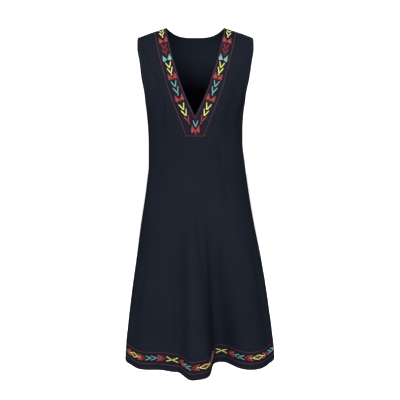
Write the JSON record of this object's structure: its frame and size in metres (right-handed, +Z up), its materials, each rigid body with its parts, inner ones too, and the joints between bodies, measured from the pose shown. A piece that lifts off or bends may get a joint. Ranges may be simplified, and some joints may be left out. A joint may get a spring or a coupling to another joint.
{
  "type": "sleeveless pinafore dress",
  "caption": "Sleeveless V-necked knee-length flared dress in dark cloth, holding its worn shape, with folk embroidery round the neck and above the hem.",
  "frame": {"origin": "midway between the two neck points, on the line of the shoulder seams, where a wearer's shoulders hold the dress up", "axes": "+Z up, +Y to the wearer's back, +X to the wearer's left"},
  "size_m": [0.4736, 0.3444, 1.0437],
  "materials": {
    "navy_cloth": "matte woven dark navy"
  },
  "bodies": {
    "root": {"front": "navy_cloth", "back_left": "navy_cloth", "back_right": "navy_cloth"}
  },
  "joints": []
}
